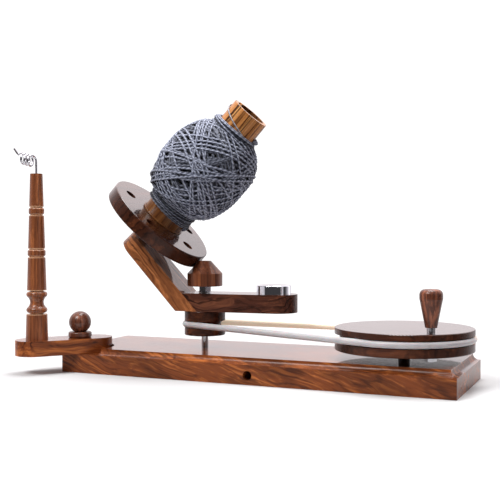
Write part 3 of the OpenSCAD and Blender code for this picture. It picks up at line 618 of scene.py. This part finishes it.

# %% [markdown]
# ## The yarn's finish
#
# The yarn is a plied slate-blue wool. Hair particles could give its fuzz, but at this size what shows are
# the plies, as slanting light and dark bands, which are painted light and shade here. So the shader reads
# the UV map that the strand builder will write: u counts turns of the twist along the strand, v goes once
# round it from the outer side. Light hardly reaches between strands, so each one is painted palest along
# its outer side, and the deeper layers get darker copies of the wool: painted shade.

# %% Wool
def wool(name, pale, mid, deep):
    mat, wire, shader = new_material(name)
    twist = wire.add("ShaderNodeUVMap", {"uv_map": "twist"})
    along = wire.add("ShaderNodeSeparateXYZ", None, {0: twist}, out="X")
    about = along.output("Y")
    # painted light and shade: ply bands, and each strand palest along its outer side
    ply = wire.math("SINE", (along + about * 2) * math.tau) * 0.5 + 0.5
    outward = wire.math("COSINE", about * math.tau) * 0.5 + 0.5
    place = object_place(wire)
    heather = place.noise((260, 260, 260), detail=3)
    fibre = place.noise((2600, 2600, 2600), detail=2)
    tone = outward * 1.5 + ply * 0.2 + heather * 0.3 + (fibre - 0.5) * 0.35 - 1.03
    colour = tone.ramp([(0.12, deep), (0.5, mid), (0.88, pale)])
    feed(shader, Base_Color=colour, Roughness=0.78 + fibre * 0.15,
         Normal=bumps(wire, ply + fibre * 0.5, 0.7, 0.8 * MM), Specular_IOR_Level=0.2,
         Sheen_Weight=0.25, Sheen_Roughness=0.5)
    return mat


slate_wool = wool("slate_wool", (0.560, 0.600, 0.740), (0.078, 0.087, 0.130), (0.011, 0.013, 0.022))
shaded_wool = wool("shaded_wool", (0.260, 0.280, 0.350), (0.042, 0.047, 0.070), (0.008, 0.009, 0.015))
heart_shade_wool = wool("heart_shade_wool", (0.075, 0.082, 0.105), (0.026, 0.029, 0.040), (0.006, 0.007, 0.011))
pale_wool = wool("pale_wool", (0.62, 0.60, 0.62), (0.42, 0.40, 0.43), (0.16, 0.15, 0.18))
print("wools", [mat.name for mat in (slate_wool, shaded_wool, heart_shade_wool, pale_wool)])

# %% [markdown]
# ## Laying the yarn
#
# On the real winder the yarn comes from one side while the flyer turns, so each turn lays a level loop.
# The bobbin is tilted and creeps round by about a sixth of a turn, so the next loop crosses the last. A
# sphere with a woven texture would look flat at its edge. So the same motion drives one unbroken line over
# an egg shape, and a tube is laid along it.
#
# The line is worked out in millimetres in the bobbin's own frame, with z up its tube, and turned into the
# scene at the end.

# %% The bobbin's frame
BALL_MID = 76.5
BALL_R = 53.5
BALL_HALF = 64.5
YARN_D = 3.9
TUBE_R = 26.0
TUBE_TOP_R = 22.5
TUBE_L = 161.0
BOBBIN_AXES = np.array([ARM_BACK.cross(BOBBIN_AXIS), ARM_BACK, BOBBIN_AXIS])
UP_HERE = BOBBIN_AXES @ [0, 0, 1]
ACROSS_HERE = BOBBIN_AXES @ np.array(ACROSS_VIEW)


def to_scene(points):
    """Millimetres in the bobbin's own frame to metres in the scene."""
    return np.asarray(points) * MM @ BOBBIN_AXES + np.array(BOBBIN_AT)


def tube_at(z):
    """The tube's radius at a height, as it tapers."""
    return TUBE_R + (TUBE_TOP_R - TUBE_R) * z / TUBE_L


def turned_line(r, a, z):
    """Points at a radius, an angle and a height."""
    return np.stack([r * np.cos(a), r * np.sin(a), z], axis=1)


print("ball's middle at", to_scene([[0, 0, BALL_MID]]).round(4)[0], "m")

# %% [markdown]
# A strand is a tube whose section has two lobes, and the lobes wind round it: that is how two plies lie in
# a yarn. A curve with a bevel can't twist its section so freely, so the rings of points are made here, at
# even steps along the line.

# %% Rings of a plied strand
SIDES = 6
LOBE = 0.14


def even_steps(points, step):
    """The same line with points an even distance apart."""
    points = np.asarray(points, float)
    run = np.concatenate([[0], np.cumsum(np.linalg.norm(np.diff(points, axis=0), axis=1))])
    marks = np.linspace(0, run[-1], max(3, int(run[-1] / step)))
    return np.stack([np.interp(marks, run, points[:, k]) for k in range(3)], axis=1)


def strand_rings(line, radius, twist):
    """Rings of points along a line; the first point of a ring is on the side away from the ball's middle."""
    ahead = np.gradient(line, axis=0)
    ahead /= np.linalg.norm(ahead, axis=1, keepdims=True)
    up = np.cross(ahead, np.cross(line - [0, 0, BALL_MID], ahead))
    up /= np.linalg.norm(up, axis=1, keepdims=True)
    side = np.cross(ahead, up)
    turn = np.arange(SIDES) * math.tau / SIDES
    swell = 1 - LOBE + LOBE * np.cos(2 * (turn[None, :] + math.pi * twist[:, None]))
    return line[:, None, :] + radius * swell[:, :, None] * (
        np.cos(turn)[None, :, None] * up[:, None, :] + np.sin(turn)[None, :, None] * side[:, None, :])


print("a strand has", SIDES, "sides and", round(1 - 2 * LOBE, 2), "of its radius between its lobes")

# %% [markdown]
# Four-sided faces join each ring to the next, and each of their corners gets its place in the twist for
# the wool to read. The mesh is built in one go from lists, which is much quicker than face by face. A
# strand turns and slides with the ball, so it rides the ball's body.

# %% Faces and twist of a strand
def strand_faces(count):
    """Four-sided faces between count rings, and a cap on each end."""
    start = np.arange(count - 1)[:, None] * SIDES
    a = start + np.arange(SIDES)
    b = start + (np.arange(SIDES) + 1) % SIDES
    walls = np.stack([a, b, b + SIDES, a + SIDES], axis=2).reshape(-1, 4)
    caps = [list(range(SIDES))[::-1], [(count - 1) * SIDES + k for k in range(SIDES)]]
    return walls.tolist() + caps


def strand_uv(twist):
    """The faces' corners in the twist: u in turns along the strand, v once round it. The caps get zeros."""
    u = np.stack([twist[:-1], twist[:-1], twist[1:], twist[1:]], axis=1)[:, None, :]
    v = (np.arange(SIDES)[:, None] + [0, 1, 1, 0])[None] / SIDES
    walls = np.stack(np.broadcast_arrays(u, v), axis=3).reshape(-1)
    return np.concatenate([walls, np.zeros(2 * SIDES * 2)]).astype(np.float32)


def strand(name, points, radius, finish, step=1.4, pitch=5.6):
    """A strand of the ball along points in the bobbin's frame, with a full twist every pitch."""
    line = even_steps(points, step)
    count = len(line)
    twist = np.arange(count) * step / pitch
    mesh = bpy.data.meshes.new(name)
    rings = strand_rings(line, radius, twist)
    mesh.from_pydata(to_scene(rings.reshape(-1, 3)).tolist(), [], strand_faces(count))
    mesh.uv_layers.new(name="twist").data.foreach_set("uv", strand_uv(twist))
    mesh.shade_smooth()
    mesh.materials.append(finish)
    piece = new_object(name, mesh)
    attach(piece, "yarn_ball")
    print(name, "rings", count, "metres", round(count * step * MM, 2))
    return piece


print("two rings are joined by", len(strand_faces(2)), "faces, with the caps")

# %% [markdown]
# The loops are planned on a unit ball that is stretched to the egg afterwards. A loop is where a tilted
# plane cuts the ball. A few loops lie side by side as the plane moves along its normal; then the bobbin
# has crept on, and the next few cross them. Dice with a fixed seed make the tilt and the number a little
# uneven, as a hand on the crank does. The last two loops are level in the room, because the flyer stopped
# there.

# %% Plan the loops
BUNDLES = 27
LOOP_POINTS = 200
CREEP = 0.1594 * math.tau
CREEPS_BETWEEN = 2.2
LEVEL_TILT = math.radians(38.5)
LEVEL_OFFSET = -0.33
LEVEL_LOOPS = 2
LEVEL_SPACING = 0.10
dice = random.Random(7)

plan = []
for k in range(BUNDLES):
    tilt = math.radians(dice.uniform(32, 52))
    azimuth = math.pi + CREEP * (k * CREEPS_BETWEEN - BUNDLES * CREEPS_BETWEEN) + dice.uniform(-0.2, 0.2)
    offset = (1 if k % 2 else -1) * dice.uniform(0.02, 0.42)
    count = dice.choice((2, 3, 3, 4))
    spacing = dice.uniform(0.078, 0.105) * dice.choice((-1, 1))
    plan.append((tilt, azimuth, offset, count, spacing))
plan.append((LEVEL_TILT, math.pi, LEVEL_OFFSET, LEVEL_LOOPS, LEVEL_SPACING))
print("bundles", len(plan), "loops", sum(count for _, _, _, count, _ in plan))

# %% [markdown]
# Every point of the line gets a plane: its tilt, the way it leans, and its distance from the ball's
# middle. They are eased, so that the line never jumps. The point runs round in its plane on the circle
# that this cuts from the ball.

# %% Loops on a unit ball
EASING = 150
OFFSET_MOST = 0.5


def eased(values, width):
    """A running mean, so that one bundle runs smoothly into the next."""
    pad = np.pad(values, width // 2, mode="edge")
    return np.convolve(pad, np.ones(width) / width, mode="valid")[:len(values)]


tilts, azimuths, offsets = [], [], []
for tilt, azimuth, offset, count, spacing in plan:
    points = count * LOOP_POINTS
    tilts.append(np.full(points, tilt))
    azimuths.append(np.full(points, azimuth))
    offsets.append(offset + spacing * np.linspace(0, count - 1 / LOOP_POINTS, points))
tilt, azimuth, offset = [eased(np.concatenate(rows), EASING) for rows in (tilts, azimuths, offsets)]
total = len(tilt)
offset = np.clip(offset, -OFFSET_MOST, OFFSET_MOST)
theta = np.arange(total) * math.tau / LOOP_POINTS
normal = np.stack([np.sin(tilt) * np.cos(azimuth), np.sin(tilt) * np.sin(azimuth), np.cos(tilt)], axis=1)
downhill = np.stack([np.cos(tilt) * np.cos(azimuth), np.cos(tilt) * np.sin(azimuth), -np.sin(tilt)], axis=1)
level = np.cross(normal, downhill)
circle_r = np.sqrt(1 - offset ** 2)[:, None]
round_loop = np.cos(theta)[:, None] * downhill + np.sin(theta)[:, None] * level
unit = offset[:, None] * normal + circle_r * round_loop
print("points on the unit ball", total, "least radius", round(float(circle_r.min()), 3))

# %% [markdown]
# What makes a wound ball look wound is that each loop bridges over what it crosses. A cloth or rope
# simulation could find that, but slowly. A map of heights over the ball does it in one pass: a loop reads
# how high the yarn already lies under it, rides a little above that with soft slopes, and then raises the
# map itself.

# %% Heights at the crossings
MAP_ROWS = 150
MAP_COLS = 240
SINK = 0.5
BRIDGE = 2
RAMP = 4
PRESSED = 0.9
SOFTENING = 9
BUILD = 6.0
LEVEL_LIFT = 0.9
latitude = np.arcsin(np.clip(unit[:, 2], -1, 1))
row = np.clip(((latitude / math.pi + 0.5) * MAP_ROWS).astype(int), 1, MAP_ROWS - 2)
col = ((np.arctan2(unit[:, 1], unit[:, 0]) / math.tau + 0.5) * MAP_COLS).astype(int) % MAP_COLS

height_map = np.zeros((MAP_ROWS, MAP_COLS))
heights = np.zeros(total)
for k in range(total // LOOP_POINTS):
    loop = slice(k * LOOP_POINTS, (k + 1) * LOOP_POINTS)
    r, c = row[loop], col[loop]
    under = height_map[r, c]
    bridged = np.max([np.roll(under, s) for s in range(-BRIDGE, BRIDGE + 1)], axis=0)
    sloped = np.mean([np.roll(bridged, s) for s in range(-RAMP, RAMP + 1)], axis=0)
    heights[loop] = sloped * PRESSED
    for i in (-1, 0, 1):
        for j in (-1, 0, 1):
            np.maximum.at(height_map, (r + i, (c + j) % MAP_COLS), heights[loop] + YARN_D * SINK)
heights = eased(heights, SOFTENING)
heights *= min(1, (BUILD - YARN_D / 2) / heights.max())
heights[-LEVEL_LOOPS * LOOP_POINTS:] += LEVEL_LIFT
print("build-up", round(heights.max(), 2), "mean", round(heights.mean(), 2), "mm")

# %% [markdown]
# The unit ball is stretched to an egg with fuller shoulders than an ellipse, and the heights are added
# along its normal. The level turns have pulled the real ball a little broader than tall, so the egg
# settles in the room. Where a loop would pass through the tube, it is pushed out to the tube's face.

# %% Stretch, settle and lay the loops
FULLNESS = 2.5
EGG = np.array([BALL_R - BUILD, BALL_R - BUILD, BALL_HALF - BUILD])
LOWER = 0.042
WIDER = 0.034
ACROSS = 0.9


def settle(points):
    """Make the ball a little broader than tall in the room, as the last level turns do."""
    away = points - [0, 0, BALL_MID]
    lower = (away @ UP_HERE)[:, None] * UP_HERE
    wider = (away @ ACROSS_HERE)[:, None] * ACROSS_HERE
    return points - LOWER * lower + WIDER * wider + ACROSS * ACROSS_HERE


def on_tube(points):
    """Push what would pass through the tube out to its face, where the yarn lies against it."""
    least = (tube_at(points[:, 2]) + YARN_D / 2) / np.hypot(points[:, 0], points[:, 1])
    push = np.maximum(1, least)
    return points * np.stack([push, push, np.ones(len(points))], axis=1)


radial = unit / EGG
radial /= np.linalg.norm(radial, axis=1, keepdims=True)
belly = np.hypot(unit[:, 0], unit[:, 1])
full = (belly ** FULLNESS + np.abs(unit[:, 2]) ** FULLNESS) ** (-1 / FULLNESS)
egg = unit * full[:, None] * EGG + radial * heights[:, None] + [0, 0, BALL_MID]
loops = on_tube(settle(egg))
halfway = total // 2
ball = strand("yarn_outer_loops", loops[halfway:], YARN_D / 2, slate_wool)
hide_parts("yarn_winding", "yarn_core")
# painted shade: the inner loops get a darker copy of the wool
strand("yarn_inner_loops", loops[:halfway + 2], YARN_D / 2, shaded_wool)

# %% [markdown]
# Both ends of the ball close in on the tube with tight turns side by side. They could be loops of the same
# kind, but the egg's poles lie inside the tube, so plain spirals follow the ball's shoulder down to it,
# one layer over another. The lower ones start lower on the right.

# %% Wraps at the necks
NECK_POINTS = 90
UNEVEN = 0.9
UNEVEN_RATE = 5.1
WANDER = 1.2
WANDER_RATE = 1.9
WANDER_START = 0.8
SHOULDER = 4.5
RIGHT_HERE = math.atan2(ACROSS_HERE[1], ACROSS_HERE[0])


def egg_radius(z, shrink):
    """The radius at a height of an egg that is smaller than the ball by shrink."""
    x = np.clip((z - BALL_MID) / (BALL_HALF - shrink), -1, 1)
    return (BALL_R - shrink) * np.sqrt(1 - x * x)


def neck(name, low, high, turns, bed, slope=0.0):
    """A spiral up the tube, bed above it, that follows the ball and starts lower on the right by slope."""
    t = np.linspace(0, 1, int(turns * NECK_POINTS))
    z = low + (high - low) * t
    r = np.maximum(tube_at(z) + bed + UNEVEN * np.sin(t * turns * UNEVEN_RATE), egg_radius(z, SHOULDER))
    a = t * turns * math.tau
    wander = WANDER * np.sin(a + WANDER_START + t * turns * WANDER_RATE)
    sag = slope * np.cos(a - RIGHT_HERE) * (1 - t)
    strand(name, turned_line(r, a, z + (wander - sag)), YARN_D / 2, slate_wool)


neck("yarn_lower_wraps", low=11.5, high=38, turns=7.0, bed=3.2, slope=3.0)
neck("yarn_upper_wraps", low=137.5, high=118, turns=5.2, bed=4.0)
neck("yarn_lower_bed", low=10.0, high=32, turns=6.3, bed=1.9, slope=4.2)
neck("yarn_upper_bed", low=138.5, high=120, turns=5.2, bed=1.9)

# %% [markdown]
# Under the loops lies the heart of the ball, whose strands only show in the gaps. A dark solid would do
# from afar, but from near its smooth face shows, so one long wavy spiral over a smaller egg fills it.

# %% Heart of the ball
HEART_TURNS = 44
HEART_POINTS = 60
HEART_LOW = 19
HEART_HIGH = 131
HEART_SUNK = BUILD - 0.6
HEART_BED = 2.2
HEART_WAVE = 9
HEART_DRIFT = 9
HEART_YARN_R = 1.9

t = np.linspace(0, 1, HEART_TURNS * HEART_POINTS)
z = HEART_LOW + (HEART_HIGH - HEART_LOW) * t
r = np.maximum(egg_radius(z, HEART_SUNK), tube_at(z) + HEART_BED)
a = t * HEART_TURNS * math.tau
wave = HEART_WAVE * np.sin(a + t * HEART_DRIFT) * np.sin(t * math.pi)
heart = on_tube(settle(turned_line(r, a, z + wave)))
# painted shade: the heart gets the darkest copy of the wool
strand("yarn_heart", heart, HEART_YARN_R, heart_shade_wool, step=2.0)

# %% [markdown]
# The yarn's free end leaves the ball, runs slantwise up the tube and drops into the notch at the back of
# the rim. It is stretched tight, so it is thinner and paler than the yarn of the ball. A bevelled curve
# would do for so short a piece, but the strand builder gives it the same plies.

# %% Tail on the tube
NOTCH_DEEP = 6.0
NOTCH_ANGLE = 165
NOTCH_GAP = 0.2
TAIL_D = 2.0
TAIL_POINTS = 60
TAIL_FROM = 129
TAIL_START = 20
TAIL_GAP = 0.1
TAIL_LIFT = 5.0
TAIL_DROP = 5

t = np.linspace(0, 1, TAIL_POINTS)
angle = np.radians(TAIL_START - t * (TAIL_START - NOTCH_ANGLE + 360))
climb = TAIL_FROM + (TUBE_L - NOTCH_DEEP + TAIL_D / 2 + NOTCH_GAP - TAIL_FROM) * t
reach = tube_at(climb) + TAIL_D / 2 + TAIL_GAP + TAIL_LIFT * np.clip(1 - t * TAIL_DROP, 0, 1)
tail_line = turned_line(reach, angle, climb)
inward = [tail_line[-1] * [share, share, 1] for share in (0.94, 0.86, 0.78)]
strand("yarn_tail", np.concatenate([tail_line, inward]), TAIL_D / 2, pale_wool, step=1.2, pitch=5)

# %% [markdown]
# ## A smooth belt
#
# The CAD belt has few faces, as a solid should. Here a curve with a round bevel follows the same line: an
# arc round the wheel's groove, an arc round the pulley's groove, and the straight runs between them, which
# a closed curve adds.

# %% Belt
BELT_R = 3.5 * MM
WHEEL_BELT = 71.5 * MM
PULLEY_BELT = 22.5 * MM
BELT_RISE = 5 * MM
WHEEL_POINTS = 90
PULLEY_POINTS = 48
WHEEL_AT = Vector(JOINTS["wheel_spin"]["pos_m"])
SHAFT_X = JOINTS["flyer_spin"]["pos_m"][0]


def round_tube(name, points, radius, finish, fineness, closed, body):
    """A round tube along points in metres, closed to a ring or with capped ends."""
    curve = bpy.data.curves.new(name, "CURVE")
    curve.dimensions = "3D"
    curve.bevel_depth = radius
    curve.bevel_resolution = fineness
    curve.use_fill_caps = True
    spline = curve.splines.new("POLY")
    spline.points.add(len(points) - 1)
    for point, place in zip(spline.points, points):
        point.co = (*place, 1)
    spline.use_cyclic_u = closed
    spline.use_smooth = True
    curve.materials.append(finish)
    piece = new_object(name, curve)
    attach(piece, body)
    return piece


def arc(x, z, r, start, stop, count):
    """Points on a level arc whose middle is at x and z, from angle start to angle stop."""
    return [(x + r * math.cos(a), r * math.sin(a), z) for a in np.linspace(start, stop, count)]


edge = math.pi / 2 + math.asin((WHEEL_BELT - PULLEY_BELT) / (WHEEL_AT.x - SHAFT_X))
belt_line = (arc(WHEEL_AT.x, WHEEL_AT.z, WHEEL_BELT, -edge, edge, WHEEL_POINTS)
             + arc(SHAFT_X, WHEEL_AT.z + BELT_RISE, PULLEY_BELT, edge, math.tau - edge, PULLEY_POINTS))
belt = round_tube("round_belt", belt_line, BELT_R, finishes["drive_belt"], fineness=4, closed=True,
                  body="base")
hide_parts("drive_belt")
print("belt points", len(belt_line))

# %% [markdown]
# ## The pigtail
#
# A wire stands in the top of the post, is wound into an open coil and ends in a straight tip, so that yarn
# can be slipped in sideways. The coil follows the CAD one turn for turn. It is drawn thicker, and it
# climbs to the left, as on the real wire. A Screw modifier could wind it too, but a formula also gives the
# line its stem and its tip.

# %% Pigtail wire
WIRE_R = 1.3
WIRE_SUNK = 12.0
WIRE_RISE = 14.0
CURLS = 3 + 5 / 12
CURL_R = 6.2
CURL_STEP = 4.6
CURL_CLIMB = 0.25
TURN_POINTS = 48
TIP_WAY = np.array((-1.6, -0.4, 2.4))

post = NODES["guide_post"]
corners = np.array([post.matrix_world @ Vector(corner) for corner in post.bound_box]) / MM
post_top = np.array([*corners.mean(axis=0)[:2], corners[:, 2].max()])
turn = np.arange(1, round(CURLS * TURN_POINTS) + 1) / TURN_POINTS
curl = np.stack([-CURL_STEP * turn, CURL_R * (np.cos(turn * math.tau) - 1),
                 WIRE_RISE + CURL_R * np.sin(turn * math.tau) + CURL_STEP * CURL_CLIMB * turn], axis=1)
stem = [(0, 0, z) for z in (-WIRE_SUNK, 0, WIRE_RISE - CURL_R, WIRE_RISE - 1)]
tip = [curl[-1] + k * TIP_WAY for k in (1, 2, 3)]
wire_line = np.concatenate([stem, curl, tip]) + post_top
pigtail = round_tube("pigtail_wire", (wire_line * MM).tolist(), WIRE_R * MM, polished_wire, fineness=3,
                     closed=False, body="guide_arm")
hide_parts("guide_wire")
print("post's top in mm", post_top.round(3), "wire points", len(wire_line))

# %% [markdown]
